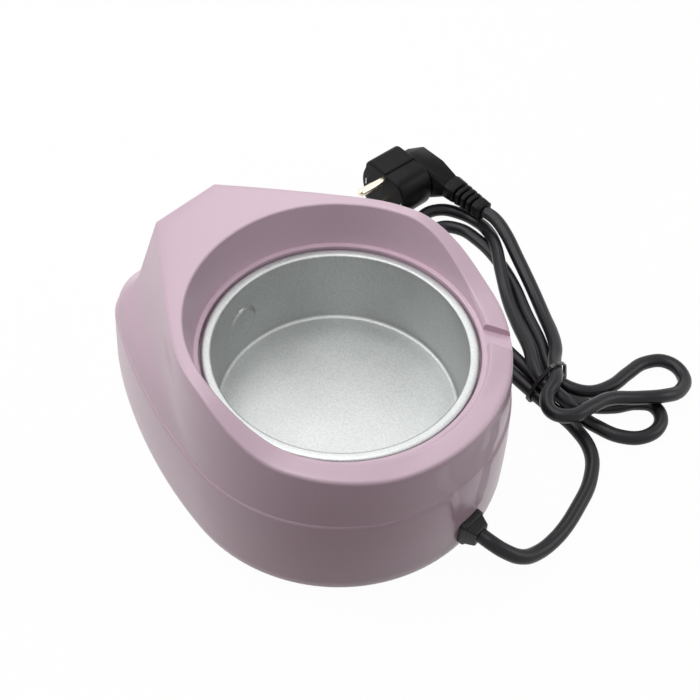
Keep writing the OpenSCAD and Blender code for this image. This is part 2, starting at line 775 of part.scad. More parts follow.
// ---- Gland and lead ----------------------------------------------------------
gland_y = belly_r;
gland_nose = 8;
gland_seat = 0.3;
gland_end = gland_y + gland_nose;

module gland_block(w, h, y0, y1, shrink = 0) {
    // a box about the outlet's axis from y0 to y1, smaller at its far end
    hull() {
        translate([-w / 2, y0, gland_z - h / 2]) cube([w, epsilon, h]);
        translate([-w / 2 + shrink, y1 - epsilon, gland_z - h / 2 + shrink])
            cube([w - 2 * shrink, epsilon, h - 2 * shrink]);
    }
}

module cord_gland() {
    color([0.07, 0.07, 0.07]) placed() difference() {
        union() {
            gland_block(gland_w, gland_h, gland_y - gland_seat, gland_y + 3.4, 0.4);
            gland_block(gland_w - 0.8, gland_h - 0.8, gland_y + 3.4, gland_y + gland_nose, 2.2);
            translate([-gland_w / 2 + 1.8, gland_y - 8, gland_z - gland_h / 2 + 1.8])
                cube([gland_w - 3.6, 8, gland_h - 3.6]);
        }
        translate([0, gland_y - 10, gland_z]) rotate([-90, 0, 0])
            cylinder(r = cord_d / 2 + 0.1, h = gland_nose + 12, $fn = 48);
    }
}

module lead_inside() {
    color([0.06, 0.06, 0.07]) placed() translate([0, 48, gland_z]) rotate([-90, 0, 0])
        cylinder(r = cord_d / 2, h = gland_y - 48, $fn = 48);
}

// The plug lies on its side beside the pot. Its own +X is the way its pins point
// and its own +Y the way the lead leaves it, with the origin amid its face.
plug_at = [-149.8, -101.8, 15.9];
plug_turn = -6;
head_r = 18.5;
head_h = 31;
head_t = 24;
cover_t = 14.5;
slab_r = 5;
slab_w = 16;
pin_seat = 13;
neck_start = [-34, 24, 2];
neck_l = 29;
neck_w = 14;
neck_h = 12.5;
neck_end = 10;

function from_plug(v) = plug_at + [v[0] * cos(plug_turn) - v[1] * sin(plug_turn),
    v[0] * sin(plug_turn) + v[1] * cos(plug_turn), v[2]];

// Route of the lead from the gland to the plug, about the chamber's axis: down to
// the table, back along the left side, and folded to and fro through the tie
lead_route = concat([
    [0, gland_y, gland_z], [0, gland_end, gland_z], [-0.2, gland_end + 5, gland_z - 0.3],
    [-2.5, 104.5, 15.5],
    [-8, 111, 11], [-18, 114.2, 6.5], [-34, 115.2, 3.9], [-54, 112.5, 3.8], [-73, 107, 3.8],
    [-87, 97, 3.8], [-93.3, 82, 4.3], [-94.8, 68, 5], [-96.2, 54.2, 5.3], [-100, 34, 4.4],
    [-105, 12, 3.8], [-112, -12, 3.8], [-121, -36, 3.8], [-132.5, -57.5, 4.4], [-145.8, -71.6, 5.4],
    [-159.8, -77.1, 6], [-171.6, -73.4, 5.6], [-178, -63, 5], [-179, -51, 5.6], [-174.5, -39, 8.3],
    [-165.5, -27, 11.4], [-152, -12, 10], [-139, 4, 6.5], [-127, 20, 7.5], [-115, 36, 10.8],
    [-105.5, 46, 12.6], [-100.2, 55.1, 12.7], [-99.5, 64, 12.2], [-99.6, 71, 10.6],
    [-100.6, 79, 6.4], [-102, 88, 3.8], [-105.5, 103, 3.8], [-115, 112.8, 3.8], [-128, 113.5, 3.8],
    [-134.5, 105, 3.8], [-130, 97, 3.8], [-119.5, 89.5, 3.8], [-109.5, 78, 4], [-104.6, 66, 5],
    [-104, 56, 5.3], [-109, 34, 4.4], [-114, 12, 3.8], [-121, -12, 3.8], [-130, -34, 3.8],
    [-140, -52, 3.8], [-149, -62, 3.8], [-160, -65, 3.8], [-168, -56, 3.8], [-168.5, -42, 3.8],
    [-163, -22, 3.8], [-154, -4, 3.8], [-141, 15, 3.8], [-128, 35, 4.1], [-115.5, 50, 5],
    [-112.2, 57.6, 5.3], [-113.2, 66, 4.8], [-119.5, 75, 3.8], [-131, 80.5, 3.8],
    [-144, 82, 3.8], [-157, 84.5, 3.8], [-166, 93, 3.8], [-163.5, 105, 3.8], [-151, 110, 7],
    [-138, 107, 11.6], [-126, 98, 13], [-112, 88.5, 16.5], [-98, 85.5, 19.5], [-86, 82, 20.5],
    [-81.5, 73, 20.5], [-88, 65.5, 20.6], [-97.5, 63, 20.6], [-104, 60, 19], [-109.5, 56, 16],
    [-116.5, 51, 13], [-126.5, 45, 10.3], [-136, 36, 7.5], [-145, 25, 5], [-156.5, 8, 6],
    [-167, -12, 11], [-173.8, -27, 16]],
    [for (d = [8, 0]) from_plug(neck_start + [0, neck_l + d, 0])]);

module power_cord() {
    color([0.06, 0.06, 0.07]) placed() tube(lead_route, cord_d / 2, 10, 1);
}

// Where the folded lead passes through its tie: across, height
tie_at = [-104, 56];
tie_turn = -13;
tie_strands = [[8, 5.3], [0, 5.3], [-8.6, 5.3], [3.8, 12.6], [-2.6, 17.8], [-6.2, 15.5]];
tie_t = 1;
tie_gap = 0.5;

module strands_outline(grow) {
    hull() for (p = tie_strands) translate(p) circle(r = cord_d / 2 + grow, $fn = 24);
}

module cord_tie() {
    color([0.05, 0.05, 0.05]) placed() translate([tie_at[0], tie_at[1], 0])
        rotate([0, 0, tie_turn]) translate([0, 1, 0]) rotate([90, 0, 0]) linear_extrude(2)
            difference() {
                strands_outline(tie_gap + tie_t);
                strands_outline(tie_gap);
            }
}

// ---- Plug --------------------------------------------------------------------
module plug_frame() {
    placed() translate(plug_at) rotate([0, 0, plug_turn]) children();
}

module round_half(grow = 0) {
    intersection() {
        circle(r = head_r + grow, $fn = 96);
        square([100, head_h - 2.4 + 2 * grow], center = true);
    }
}

module square_half(grow = 0) {
    intersection() {
        offset(r = slab_r) square([2 * (slab_w - slab_r + grow), head_h + 2 * (grow - slab_r)],
            center = true);
        translate([-30, -30]) square([31.5 + grow, 60]);
    }
}

module head_slice(x, h) {
    translate([x, 0, 0]) rotate([90, 0, 90]) linear_extrude(h) children();
}

module neck_slice(y, w, h) {
    // an eight-sided slice of the neck
    translate([0, y + epsilon, 0]) rotate([90, 0, 0]) linear_extrude(epsilon) intersection() {
        square([w, h], center = true);
        rotate(45) square((w + h) * 0.6, center = true);
    }
}

module plug_body() {
    color([0.09, 0.09, 0.10]) plug_frame() difference() {
        union() {
            head_slice(-head_t, head_t - 0.8) {
                round_half();
                square_half();
            }
            hull() {
                head_slice(-1.1, 0.3) round_half(-0.1);
                head_slice(-epsilon, epsilon) round_half(-0.8);
            }
            hull() {
                head_slice(-1.1, 0.3) square_half(-0.1);
                head_slice(-epsilon, epsilon) square_half(-0.8);
            }
            hull() {
                translate([-head_t - 4, 0, 0]) rotate([0, 90, 0])
                    cylinder(r = head_h / 2 - 0.4, h = 4.5, $fn = 48);
                translate([-head_t - 6, -10, -head_h / 2 + 4]) cube([5, 20, head_h - 8]);
                translate([-head_t - cover_t, -5, -10]) cube([2, 16, 22]);
                translate(neck_start) neck_slice(0, neck_w, neck_h);
            }
        }
        for (y = [-slab_w - 1, head_r - 2.4]) translate([-head_t + 3, y, -3.2])
            cube([head_t, 3.4, 6.4]);
        for (s = [-1, 1]) translate([-pin_seat, 0, s * pin_pitch / 2]) rotate([0, 90, 0])
            cylinder(r = pin_d / 2, h = pin_seat + 1, $fn = 32);
    }
}

module plug_neck() {
    color([0.09, 0.09, 0.10]) plug_frame() translate(neck_start) difference() {
        hull() {
            neck_slice(epsilon, neck_w, neck_h);
            neck_slice(neck_l - epsilon, neck_end, neck_end);
        }
        for (i = [0:3]) translate([0, 8 + 4.3 * i, 0]) difference() {
            translate([-neck_w, 0, -neck_h]) cube([2 * neck_w, 1.5, 2 * neck_h]);
            translate([-neck_end / 2 + 1.4, -1, -neck_end / 2 + 1.4])
                cube([neck_end - 2.8, 4, neck_end - 2.8]);
        }
    }
}

module plug_pins() {
    color([0.80, 0.68, 0.35]) plug_frame() for (s = [-1, 1])
        translate([-pin_seat, 0, s * pin_pitch / 2]) rotate([0, 90, 0]) {
            cylinder(r = pin_d / 2, h = pin_seat + pin_len - 1.2, $fn = 32);
            translate([0, 0, pin_seat + pin_len - 1.2])
                cylinder(r1 = pin_d / 2, r2 = pin_d / 2 - 1.2, h = 1.2, $fn = 32);
        }
}

module plug_earth_clips() {
    color([0.75, 0.75, 0.76]) plug_frame() for (y = [-slab_w + 1.6, head_r - 2.4])
        translate([-head_t + 3, y, -2]) cube([head_t - 2.4, 0.8, 4]);
}

upper_housing();
lower_housing();
base_plate();
rubber_feet();
base_screws();
heating_chamber();
chamber_brackets();
bracket_screws();
heater_band();
heater_clamp_screw();
heat_shield();
shield_screws();
thermostat_body();
thermostat_nut();
thermostat_shaft();
control_knob();
knob_pointer();
dial_plate();
sensor_bulb();
sensor_clip();
capillary_tube();
thermal_fuse();
power_lens();
heating_lens();
lamp_holders();
terminal_block();
live_wire();
neutral_wire();
earth_wire();
earth_screw();
cord_clamp();
cord_clamp_screws();
cord_gland();
lead_inside();
power_cord();
cord_tie();
plug_body();
plug_neck();
plug_pins();
plug_earth_clips();
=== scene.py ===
import math

import bmesh
import bpy
import numpy as np
from mathutils import Matrix, Vector


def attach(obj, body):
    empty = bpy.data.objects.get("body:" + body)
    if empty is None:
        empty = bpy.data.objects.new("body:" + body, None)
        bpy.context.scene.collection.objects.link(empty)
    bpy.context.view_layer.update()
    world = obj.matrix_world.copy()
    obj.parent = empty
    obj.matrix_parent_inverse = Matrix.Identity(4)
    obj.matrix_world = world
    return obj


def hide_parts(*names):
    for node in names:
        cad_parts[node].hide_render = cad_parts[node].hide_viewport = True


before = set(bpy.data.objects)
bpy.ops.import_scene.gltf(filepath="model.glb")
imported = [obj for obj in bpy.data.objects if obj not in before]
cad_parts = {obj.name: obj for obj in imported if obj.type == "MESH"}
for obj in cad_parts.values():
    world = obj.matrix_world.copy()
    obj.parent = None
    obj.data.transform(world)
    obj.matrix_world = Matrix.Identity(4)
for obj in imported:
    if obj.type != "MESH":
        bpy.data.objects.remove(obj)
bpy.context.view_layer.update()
bpy.ops.object.select_all(action="DESELECT")

# ---- Camera ------------------------------------------------------------------
# Looks down into the bowl from behind and beside the pot, with the plug beyond it.
camera_data = bpy.data.cameras.new("camera")
camera_data.lens = 61.714
camera_data.sensor_width = 36
camera_data.clip_start = 0.01
camera = bpy.data.objects.new("camera", camera_data)
bpy.context.scene.collection.objects.link(camera)
camera.matrix_world = Matrix((
    (-0.6741, -0.5457, 0.4978, 0.2750),
    (0.7380, -0.5265, 0.4221, 0.26505),
    (0.0318, 0.6520, 0.7576, 0.5009),
    (0, 0, 0, 1),
))
bpy.context.scene.camera = camera
bpy.context.scene.view_settings.view_transform = "Standard"

# ---- Mains lead --------------------------------------------------------------
# Round black PVC lead, 7.5 mm thick. It leaves the gland at the back, runs along the
# table and is folded to and fro in a bundle before it reaches the plug.
# All lengths are in millimetres about the bowl's upright axis until a mesh is made.
POT_Y = 26.05  # how far the bowl's axis lies behind the middle of the housing
LEAD_R = 3.75


def metres(points):
    """Points about the bowl's axis in millimetres, put in the model's frame in metres."""
    return (np.asarray(points, float) + [0, POT_Y, 0]) / 1000


def maths(nodes, links, operation, *values):
    """The output of a math node fed by sockets or plain numbers."""
    node = nodes.new("ShaderNodeMath")
    node.operation = operation
    for socket, value in zip(node.inputs, values):
        if isinstance(value, bpy.types.NodeSocket):
            links.new(value, socket)
        else:
            socket.default_value = value
    return node.outputs[0]


# How much the slow patches count beside the grain, and the middle value of a noise.
PATCH_SHARE, NOISE_MEAN = 0.4, 0.5


def noise_group():
    """Slow shade differences, fine grain and roughness patches that all finishes share."""
    group = bpy.data.node_groups.new("surface_variation", "ShaderNodeTree")
    face = group.interface
    for name, kind, value in (
        ("Coordinates", "NodeSocketVector", None),
        ("Colour", "NodeSocketColor", (0.5, 0.5, 0.5, 1)),
        ("Shade", "NodeSocketFloat", 0.06),
        ("Roughness", "NodeSocketFloat", 0.4),
        ("Spread", "NodeSocketFloat", 0.05),
        ("Patch Scale", "NodeSocketFloat", 40.0),
        ("Grain Scale", "NodeSocketFloat", 900.0),
    ):
        socket = face.new_socket(name=name, in_out="INPUT", socket_type=kind)
        if value is not None:
            socket.default_value = value
    face.new_socket(name="Colour", in_out="OUTPUT", socket_type="NodeSocketColor")
    face.new_socket(name="Roughness", in_out="OUTPUT", socket_type="NodeSocketFloat")
    face.new_socket(name="Height", in_out="OUTPUT", socket_type="NodeSocketFloat")
    nodes, links = group.nodes, group.links
    source, sink = nodes.new("NodeGroupInput"), nodes.new("NodeGroupOutput")
    patch, grain = nodes.new("ShaderNodeTexNoise"), nodes.new("ShaderNodeTexNoise")
    patch.inputs["Detail"].default_value = 3
    grain.inputs["Detail"].default_value = 4
    for texture, scale in ((patch, "Patch Scale"), (grain, "Grain Scale")):
        links.new(source.outputs["Coordinates"], texture.inputs["Vector"])
        links.new(source.outputs[scale], texture.inputs["Scale"])
    mixed = maths(nodes, links, "MULTIPLY_ADD", patch.outputs["Fac"], PATCH_SHARE,
                  grain.outputs["Fac"])
    centred = maths(nodes, links, "SUBTRACT", mixed, NOISE_MEAN * (1 + PATCH_SHARE))
    shade = maths(nodes, links, "MULTIPLY_ADD", centred, source.outputs["Shade"], 1)
    tint = nodes.new("ShaderNodeVectorMath")
    tint.operation = "SCALE"
    links.new(source.outputs["Colour"], tint.inputs[0])
    links.new(shade, tint.inputs["Scale"])
    rough = maths(nodes, links, "MULTIPLY_ADD", centred, source.outputs["Spread"],
                  source.outputs["Roughness"])
    rough.node.use_clamp = True
    links.new(tint.outputs[0], sink.inputs["Colour"])
    links.new(rough, sink.inputs["Roughness"])
    links.new(grain.outputs["Fac"], sink.inputs["Height"])
    return group


surface_variation = noise_group()


def finish_material(name, colour, roughness, shade=0.06, spread=0.06, patch=40, grain=900,
                    bump=0.1, depth=0.0001, metallic=0.0, **more):
    """A material whose colour, gloss and relief come from the shared variation group."""
    material = bpy.data.materials.new(name)
    material.use_nodes = True
    nodes, links = material.node_tree.nodes, material.node_tree.links
    shader = nodes["Principled BSDF"]
    place = nodes.new("ShaderNodeTexCoord")
    vary = nodes.new("ShaderNodeGroup")
    vary.node_tree = surface_variation
    links.new(place.outputs["Object"], vary.inputs["Coordinates"])
    for socket, value in (("Colour", (*colour, 1)), ("Shade", shade), ("Roughness", roughness),
                          ("Spread", spread), ("Patch Scale", patch), ("Grain Scale", grain)):
        vary.inputs[socket].default_value = value
    relief = nodes.new("ShaderNodeBump")
    relief.inputs["Strength"].default_value = bump
    relief.inputs["Distance"].default_value = depth
    links.new(vary.outputs["Colour"], shader.inputs["Base Color"])
    links.new(vary.outputs["Roughness"], shader.inputs["Roughness"])
    links.new(vary.outputs["Height"], relief.inputs["Height"])
    links.new(relief.outputs["Normal"], shader.inputs["Normal"])
    shader.inputs["Metallic"].default_value = metallic
    for socket, value in more.items():
        shader.inputs[socket.replace("_", " ")].default_value = value
    return material


def dress(names, material):
    """Gives CAD nodes, kept as they are, their finish."""
    for name in names:
        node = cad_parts[name]
        node.data.materials.clear()
        node.data.materials.append(material)


LEAD_POINTS = [
    (0, 84.3, 18.5), (0, 92.3, 18.5), (-0.2, 97.3, 18.2), (-2.5, 104.5, 15.5), (-8, 111, 11),
    (-18, 114.2, 6.5), (-34, 115.2, 3.9), (-54, 112.5, 3.8), (-73, 107, 3.8), (-87, 97, 3.8),
    (-93.3, 82, 4.3), (-94.8, 68, 5), (-96.2, 54.2, 5.3), (-100, 34, 4.4), (-105, 12, 3.8),
    (-112, -12, 3.8), (-121, -36, 3.8), (-132.5, -57.5, 4.4), (-145.8, -71.6, 5.4),
    (-159.8, -77.1, 6), (-171.6, -73.4, 5.6), (-178, -63, 5), (-179, -51, 5.6), (-174.5, -39, 8.3),
    (-165.5, -27, 11.4), (-152, -12, 10), (-139, 4, 6.5), (-127, 20, 7.5), (-115, 36, 10.8),
    (-105.5, 46, 12.6), (-100.2, 55.1, 12.7), (-99.5, 64, 12.2), (-99.6, 71, 10.6),
    (-100.6, 79, 6.4), (-102, 88, 3.8), (-105.5, 103, 3.8), (-115, 112.8, 3.8),
    (-128, 113.5, 3.8), (-134.5, 105, 3.8), (-130, 97, 3.8), (-119.5, 89.5, 3.8),
    (-109.5, 78, 4), (-104.6, 66, 5), (-104, 56, 5.3), (-109, 34, 4.4), (-114, 12, 3.8),
    (-121, -12, 3.8), (-130, -34, 3.8), (-140, -52, 3.8), (-149, -62, 3.8), (-160, -65, 3.8),
    (-168, -56, 3.8), (-168.5, -42, 3.8), (-163, -22, 3.8), (-154, -4, 3.8), (-141, 15, 3.8),
    (-128, 35, 4.1), (-115.5, 50, 5), (-112.2, 57.6, 5.3), (-113.2, 66, 4.8),
    (-119.5, 75, 3.8), (-131, 80.5, 3.8), (-144, 82, 3.8), (-157, 84.5, 3.8),
    (-166, 93, 3.8), (-163.5, 105, 3.8), (-151, 110, 7), (-138, 107, 11.6), (-126, 98, 13),
    (-112, 88.5, 16.5), (-98, 85.5, 19.5), (-86, 82, 20.5), (-81.5, 73, 20.5),
    (-88, 65.5, 20.6), (-97.5, 63, 20.6), (-104, 60, 19), (-109.5, 56, 16),
    (-116.5, 51, 13), (-126.5, 45, 10.3), (-136, 36, 7.5), (-145, 25, 5), (-156.5, 8, 6),
    (-167, -12, 11), (-173.8, -27, 16), (-177.24, -37.57, 17.9), (-178.08, -45.53, 17.9),
]

bpy.ops.curve.primitive_bezier_curve_add()
lead = bpy.context.object
lead.name = "mains_lead"
lead.matrix_world = Matrix.Identity(4)
strand = lead.data.splines[0]
strand.bezier_points.add(len(LEAD_POINTS) - 2)
route = np.array(LEAD_POINTS, float)
steps = np.linalg.norm(np.diff(route, axis=0), axis=1)
ways = np.diff(route, axis=0) / steps[:, None]
# The handles' length beside the step, and the reach and lowest height of the lead's middle.
HANDLE_SHARE, REAR_REACH, TABLE_CLEAR = 0.37, 115.2, LEAD_R + 0.02
for i, point in enumerate(strand.bezier_points):
    before, after = max(i - 1, 0), min(i, len(steps) - 1)
    heading = ways[before] + ways[after]
    heading = heading / np.linalg.norm(heading)
    handles = np.array([route[i] - heading * steps[before] * HANDLE_SHARE,
                        route[i] + heading * steps[after] * HANDLE_SHARE])
    handles[:, 1] = np.minimum(handles[:, 1], REAR_REACH)
    handles[:, 2] = np.maximum(handles[:, 2], TABLE_CLEAR)
    point.handle_left_type = point.handle_right_type = "FREE"
    point.co = metres([route[i]])[0]
    point.handle_left, point.handle_right = metres(handles)
lead.data.dimensions = "3D"
lead.data.resolution_u = 6
lead.data.bevel_depth = LEAD_R / 1000
lead.data.bevel_resolution = 5
lead.data.use_fill_caps = True
lead_pvc = finish_material("lead_pvc", (0.010, 0.010, 0.013), 0.35, shade=0.5, spread=0.12,
                           patch=60, grain=1500, bump=0.12, depth=0.00008,
                           Specular_IOR_Level=0.3)
lead.data.materials.append(lead_pvc)
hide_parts("power_cord")
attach(lead, "housing")

# ---- Upper shell -------------------------------------------------------------
# Glossy pale pink ABS moulding with a collar round the front of the bowl and a low ring
# round the back. One wall runs up the outside, over the rounded top edge and down the bore.
WALL = 2.6
FRONT_N, CORNER_N, SIDE_N, REAR_N = 12, 14, 32, 40  # points along each part of a half outline
half = (
    [(0, i / FRONT_N) for i in range(FRONT_N)]
    + [(1, i / CORNER_N) for i in range(CORNER_N)]
    + [(2, i / SIDE_N) for i in range(SIDE_N)]
    + [(3, i / REAR_N) for i in range(REAR_N + 1)]
)
RUN = np.array(half + half[-2:0:-1])
SIDE = np.array([1] * len(half) + [-1] * (len(half) - 2))


def level_at(levels, z, soft=1.2):
    """Outline values at the heights z, eased over the creases between the levels."""
    table = np.array(levels, float)
    # A row beyond each end carries the slope on.
    first = table[0] - (table[1] - table[0])
    last = table[-1] + (table[-1] - table[-2])
    table = np.vstack([first, table, last])
    return np.mean([[np.interp(z + d, table[:, 0], table[:, k]) for k in range(1, 6)]
                    for d in np.linspace(-soft, soft, 5)], axis=0)


def shell_outline(values, inset):
    """Plan outline with a flat front, round corners, long side arcs and a round back."""
    r, w, reach, rc = (values[k] - inset for k in range(4))
    rc = np.maximum(rc, 0.5)
    full = np.radians(values[4])
    cx, cy = w - rc, reach - rc
    along = np.hypot(cx, cy)
    start = np.arctan2(cy, cx) - np.arccos((r - rc) / along) - full
    shift = (along**2 - (r - rc) ** 2) / (2 * (r - rc - cx * np.cos(start) - cy * np.sin(start)))
    mx, my = -shift * np.cos(start), shift * np.sin(start)
    end = np.arctan2(-cy - my, cx - mx)
    part, t = RUN[:, 0], RUN[:, 1]
    corner = -np.pi / 2 + (end + np.pi / 2) * t
    side = end + (-start - end) * t
    rear = -start + (np.pi / 2 + start) * t
    x = np.choose(part.astype(int), [cx * t, cx + rc * np.cos(corner),
                                     mx + (r + shift) * np.cos(side), r * np.cos(rear)])
    y = np.choose(part.astype(int), [-reach + 0 * t, -cy + rc * np.sin(corner),
                                     my + (r + shift) * np.sin(side), r * np.sin(rear)])
    return x * SIDE, y


def shell_ring(levels, z, inset=0.0):
    """The shell's outline at the heights z, drawn in by the inset."""
    z = np.zeros(len(RUN)) + z
    x, y = shell_outline(level_at(levels, z), inset)
    return np.column_stack([x, y, z])


def build_up(name, rings, closed=False):
    """A mesh drawn out ring by ring from a circle, closed on itself or capped."""
    bpy.ops.mesh.primitive_circle_add(vertices=len(rings[0]), radius=1)
    piece = bpy.context.object
    piece.name = name
    piece.matrix_world = Matrix.Identity(4)
    for vertex, place in zip(piece.data.vertices, metres(rings[0])):
        vertex.co = place
    bpy.ops.object.mode_set(mode="EDIT")
    bpy.ops.mesh.select_all(action="SELECT")
    for ring in rings[1:] + (rings[:1] if closed else []):
        bpy.ops.mesh.extrude_region()
        mesh = bmesh.from_edit_mesh(piece.data)
        fresh = [v for v in mesh.verts if v.select]
        for vertex, place in zip(fresh, metres(ring)):
            vertex.co = place
        bmesh.update_edit_mesh(piece.data)
    bpy.ops.mesh.select_all(action="SELECT")
    if closed:
        bpy.ops.mesh.remove_doubles(threshold=1e-7)
    else:
        bpy.ops.mesh.select_all(action="DESELECT")
        bpy.ops.mesh.select_non_manifold()
        bpy.ops.mesh.edge_face_add()
    bpy.ops.mesh.select_all(action="SELECT")
    bpy.ops.mesh.normals_make_consistent(inside=False)
    bpy.ops.object.mode_set(mode="OBJECT")
    piece.select_set(False)
    return piece


def combine(piece, other, operation):
    """Cuts the other shape out of the piece or fuses it in, and throws the other away."""
    boolean = piece.modifiers.new("boolean", "BOOLEAN")
    boolean.operation = operation
    boolean.solver = "EXACT"
    boolean.object = other
    bpy.context.view_layer.objects.active = piece
    bpy.ops.object.modifier_apply(modifier=boolean.name)
    bpy.data.objects.remove(other)


def smooth(piece, angle):
    """Shades the piece smooth, with edges left sharp past the angle in degrees."""
    bpy.ops.object.select_all(action="DESELECT")
    piece.select_set(True)
    bpy.context.view_layer.objects.active = piece
    bpy.ops.object.shade_smooth_by_angle(angle=math.radians(angle))
    piece.select_set(False)


SEAM_Z, CREASE_Z, RING_Z, COLLAR_Z = 55, 75, 82.8, 104.4
# Each level: height, radius of the round back, half width and reach of the front, radius of
# its corners, and how far past the widest place, in degrees, the round back runs on.
PANEL_FOOT = (CREASE_Z, 80.6, 33, 106, 3, 6)
PANEL_TOP = (COLLAR_Z, 77, 19.6, 103.2, 1.5, 2)
UPPER_LEVELS = [
    (SEAM_Z, 82, 49, 121, 26, 11.5),
    (59, 81.8, 48, 120.4, 25, 11),
    (63, 81.5, 45, 118, 21, 10),
    (67, 81.2, 40.5, 113.5, 15, 9),
    (71, 80.9, 36.5, 109, 8, 7.5),
    PANEL_FOOT,
    (85.29, 79.34, 28.31, 105.02, 2.475, 4.6),
    (95.58, 78.48, 23.62, 104.04, 1.95, 3.2),
    PANEL_TOP,
]


SLOPE_START, SLOPE_END, SLOPE_FOOT_Z = -20, 35, 86.2


def top_height(y):
    """Height of the top edge: high round the front, easing down the sides, low behind."""
    t = np.clip((y - SLOPE_START) / (SLOPE_END - SLOPE_START), 0, 1)
    slope = COLLAR_Z + (SLOPE_FOOT_Z - COLLAR_Z) * t * t * (3 - 2 * t)
    rear = np.mean([np.interp(y + d, [SLOPE_END, 55, 67, 90],
                              [SLOPE_FOOT_Z, 84.4, RING_Z, RING_Z])
                    for d in np.linspace(-2, 2, 5)], axis=0)
    return np.where(y < SLOPE_END, slope, rear)


LEDGE_Z, LEDGE_R, OPENING_R, COLLAR_R = 81.2, 67.8, 65.7, 71
SHELF_Z, SHELF_R = 76, 62.6  # where the opening closes in round the bowl, under its rim


def bore_radius(z):
    """Inside of the collar, narrowing to the ledge just over the bowl's rim."""
    return np.interp(z, [LEDGE_Z - 0.4, LEDGE_Z, COLLAR_Z], [OPENING_R, LEDGE_R, COLLAR_R])


ROUNDING = np.radians([18, 36, 54, 72, 90])  # steps over a quarter of the rounded top edge
EDGE_ROUNDING = [1.6, 1.1]  # its radius on the low ring and on the collar


def upper_rings():
    """Rings up the outside, over the top edge, down the bore and back up inside the wall."""
    edge_z = np.full(len(RUN), 90.0)
    for _ in range(60):  # settles on the height where the outside meets the top edge
        edge_z += 0.6 * (top_height(shell_ring(UPPER_LEVELS, edge_z)[:, 1]) - edge_z)
    edge = np.interp(edge_z, [84, 96], EDGE_ROUNDING)
    rings = [shell_ring(UPPER_LEVELS, SEAM_Z)]
    rings += [shell_ring(UPPER_LEVELS, z) for z in np.linspace(SEAM_Z + 1.6, CREASE_Z, 17)]
    rings += [shell_ring(UPPER_LEVELS, CREASE_Z + (edge_z - edge - CREASE_Z) * s)
              for s in np.linspace(0, 1, 15)[1:]]
    for a in ROUNDING:
        ring = shell_ring(UPPER_LEVELS, edge_z - edge * (1 - math.sin(a)),
                          edge * (1 - math.cos(a)))
        ring[:, 2] = top_height(ring[:, 1]) - edge * (1 - math.sin(a))
        rings.append(ring)
    outer = rings[-1]
    turn = np.arctan2(outer[:, 1], outer[:, 0])
    r = np.full(len(RUN), 70.0)
    for _ in range(20):  # settles on the radius where the bore meets the top edge
        r = bore_radius(top_height(r * np.sin(turn)))

    def round_bore(radius, z):
        return np.column_stack([radius * np.cos(turn), radius * np.sin(turn), z + 0 * turn])

    inner = round_bore(r + edge, 0)
    for t in (0.2, 0.4, 0.6, 0.8, 1):
        ring = outer + (inner - outer) * t
        ring[:, 2] = top_height(ring[:, 1])
        rings.append(ring)
    for a in ROUNDING:
        radius = r + edge * (1 - math.sin(a))
        rings.append(round_bore(radius, top_height(radius * np.sin(turn))
                                - edge * (1 - math.cos(a))))
    high = rings[-1][:, 2]
    foot = np.clip(high - 0.4, LEDGE_Z + 0.1, 84.3)
    for s in np.linspace(0, 1, 9)[1:]:
        z = high + (foot - high) * s
        rings.append(round_bore(bore_radius(z), z))
    rings += [round_bore(radius, z) for radius, z in (
        (LEDGE_R, LEDGE_Z), (66.1, 80.95), (OPENING_R, 80.6), (OPENING_R, SHELF_Z),
        (SHELF_R, SHELF_Z), (SHELF_R, 71))]
    rings += [shell_ring(UPPER_LEVELS, z, WALL) for z in (70, 63, SEAM_Z)]
    return rings


RECESS_DEPTH, RECESS_END = 1.4, 4.7


def recess_ring(z, r, width, share):
    """One ring of the recess's cutter, at the given share of its full depth."""
    out = math.asin(width / r)
    floor = out - RECESS_END / r
    low = r - RECESS_DEPTH * share
    arc = [(low * math.sin(a), low * math.cos(a), z) for a in np.linspace(-floor, floor, 13)]
    far, near = r + 7, r + 0.02
    return np.array([(-far * math.sin(out), far * math.cos(out), z),
                     (-near * math.sin(out), near * math.cos(out), z), *arc,
                     (near * math.sin(out), near * math.cos(out), z),
                     (far * math.sin(out), far * math.cos(out), z)])


def sink_recess(shell, levels):
    """Sinks the shallow recess over the gland into the back of a shell."""
    cutter = build_up("recess_cutter", [recess_ring(*level) for level in levels])
    combine(shell, cutter, "DIFFERENCE")


NOTCH_PLACE, NOTCH_TURN = (-52, 50, 81.4), math.radians(24)
NOTCH_WIDTH, NOTCH_LENGTH, NOTCH_HEIGHT = 10 / 1000, 32 / 1000, 12 / 1000

upper_shell = build_up("upper_shell", upper_rings(), closed=True)
sink_recess(upper_shell, [
    (54, 82, 12, 0), (55.5, 82, 12.5, 0.2), (58.5, 81.8, 15, 1), (67, 81.3, 21, 1),
    (CREASE_Z, 80.6, 21, 1), (78.2, 80.35, 21, 1), (78.8, 80.3, 20.4, 0.4)])
bpy.ops.mesh.primitive_cube_add(size=1)
notch_cutter = bpy.context.object
notch_cutter.data.transform(
    Matrix.Translation(metres([NOTCH_PLACE])[0].tolist())
    @ Matrix.Rotation(NOTCH_TURN, 4, "Z")
    @ Matrix.Translation((0, 0, NOTCH_HEIGHT / 2))
    @ Matrix.Diagonal((NOTCH_WIDTH, NOTCH_LENGTH, NOTCH_HEIGHT, 1)))
combine(upper_shell, notch_cutter, "DIFFERENCE")
smooth(upper_shell, 28)
shell_pink = finish_material("shell_pink", (0.715, 0.525, 0.625), 0.32, shade=0.03, spread=0.04,
                             patch=18, grain=500, bump=0.03, depth=0.00005, Coat_Weight=0.2,
                             Coat_Roughness=0.08, Specular_IOR_Level=0.35)
upper_shell.data.materials.append(shell_pink)
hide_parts("upper_housing")
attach(upper_shell, "housing")

